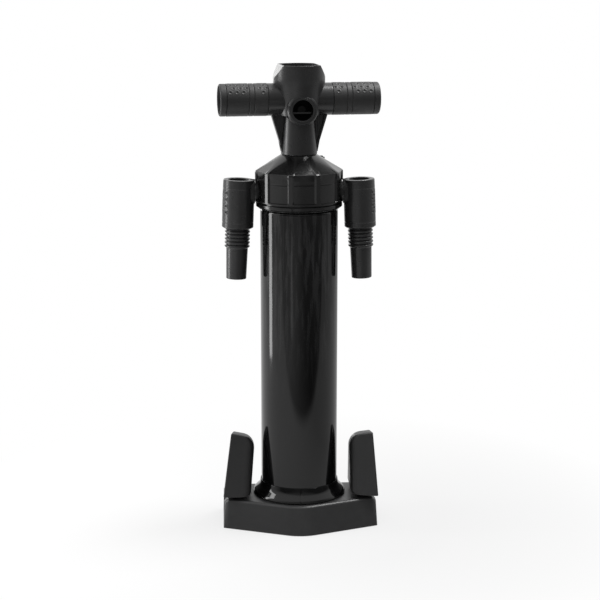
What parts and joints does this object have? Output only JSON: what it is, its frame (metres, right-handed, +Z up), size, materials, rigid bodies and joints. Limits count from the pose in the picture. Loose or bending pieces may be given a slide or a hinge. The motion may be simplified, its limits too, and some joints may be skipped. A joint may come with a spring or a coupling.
{
  "type": "double-action hand air pump",
  "caption": "Upright hand pump for inflating: round barrel on a V-nosed base with fold-down feet, sliding rod with a T-handle, ribbed cap, and hose fittings that turn on either side.",
  "frame": {"origin": "on the barrel's axis, on the floor under the base plate", "axes": "+Z up along the barrel and rod, -Y towards the front nose of the base, +X to the right-hand hose fitting"},
  "size_m": [0.1664, 0.1161, 0.48],
  "materials": {
    "gloss_black": "polished black",
    "cap_black": "semi-gloss black",
    "satin_black": "satin black",
    "grip_black": "satin black with fine dots",
    "base_grey": "matte dark grey, lightly grained",
    "rubber": "matte black",
    "inner_plastic": "natural moulded plastic",
    "rod_aluminium": "drawn tube, anodised",
    "steel": "zinc plated"
  },
  "bodies": {
    "pump_body": {"barrel": "gloss_black", "cylinder_liner": "inner_plastic", "foot_flange": "gloss_black", "base": "base_grey", "base_plate": "base_grey", "base_screw_1": "steel", "base_screw_2": "steel", "base_screw_3": "steel", "base_screw_4": "steel", "bottom_gasket": "rubber", "bottom_valve_block": "inner_plastic", "top_valve_plate": "inner_plastic", "cap": "cap_black", "cap_collar": "gloss_black", "cap_gasket": "rubber", "rod_bush": "inner_plastic", "rod_seal": "rubber", "left_hinge_pin": "steel", "right_hinge_pin": "steel"},
    "piston_slide": {"piston_seal": "rubber"},
    "rod_and_handle": {"rod": "rod_aluminium", "rod_plug": "steel", "piston_upper": "inner_plastic", "piston_lower": "inner_plastic", "piston_bolt": "steel", "piston_bumper": "rubber", "handle_body": "satin_black", "handle_screw": "steel", "left_grip_sleeve": "grip_black", "right_grip_sleeve": "grip_black", "left_grip_plug": "grip_black", "right_grip_plug": "grip_black"},
    "left_foot": {"left_foot": "base_grey"},
    "right_foot": {"right_foot": "base_grey"},
    "left_elbow": {"left_elbow": "satin_black", "left_elbow_seal": "rubber"},
    "right_elbow": {"right_elbow": "satin_black", "right_elbow_seal": "rubber"},
    "mode_plug": {"mode_plug": "satin_black"},
    "bottom_delivery_valve": {"bottom_delivery_valve": "rubber"},
    "bottom_suction_valve": {"bottom_suction_valve": "rubber"},
    "top_delivery_valve": {"top_delivery_valve": "rubber"},
    "top_suction_valve": {"top_suction_valve": "rubber"}
  },
  "joints": [
    {"name": "rod_stroke", "type": "slide", "parent": "pump_body", "child": "piston_slide", "axis": [0, 0, 1], "range_m": [0, 0.255]},
    {"name": "handle_turn", "type": "hinge", "parent": "piston_slide", "child": "rod_and_handle", "pos_m": [0, 0, 0.4], "axis": [0, 0, 1], "continuous": true},
    {"name": "left_foot_fold", "type": "hinge", "parent": "pump_body", "child": "left_foot", "pos_m": [-0.0673, 0, 0.016], "axis": [0, -1, 0], "range_deg": [0, 98]},
    {"name": "right_foot_fold", "type": "hinge", "parent": "pump_body", "child": "right_foot", "pos_m": [0.0673, 0, 0.016], "axis": [0, 1, 0], "range_deg": [0, 93.5]},
    {"name": "left_elbow_turn", "type": "hinge", "parent": "pump_body", "child": "left_elbow", "pos_m": [-0.062, 0, 0.3505], "axis": [1, 0, 0], "range_deg": [-90, 90]},
    {"name": "right_elbow_turn", "type": "hinge", "parent": "pump_body", "child": "right_elbow", "pos_m": [0.062, 0, 0.3505], "axis": [1, 0, 0], "range_deg": [-90, 90]},
    {"name": "mode_plug_turn", "type": "hinge", "parent": "pump_body", "child": "mode_plug", "pos_m": [0.02, 0.026, 0.379], "axis": [0, 0, 1], "range_deg": [0, 90]},
    {"name": "bottom_delivery_lift", "type": "slide", "parent": "pump_body", "child": "bottom_delivery_valve", "axis": [0, 0, -1], "range_m": [0, 0.002], "stiffness_N_per_m": 40},
    {"name": "bottom_suction_lift", "type": "slide", "parent": "pump_body", "child": "bottom_suction_valve", "axis": [0, 0, 1], "range_m": [0, 0.002], "stiffness_N_per_m": 40},
    {"name": "top_delivery_lift", "type": "slide", "parent": "pump_body", "child": "top_delivery_valve", "axis": [0, 0, 1], "range_m": [0, 0.002], "stiffness_N_per_m": 40},
    {"name": "top_suction_lift", "type": "slide", "parent": "pump_body", "child": "top_suction_valve", "axis": [0, 0, -1], "range_m": [0, 0.002], "stiffness_N_per_m": 40}
  ]
}
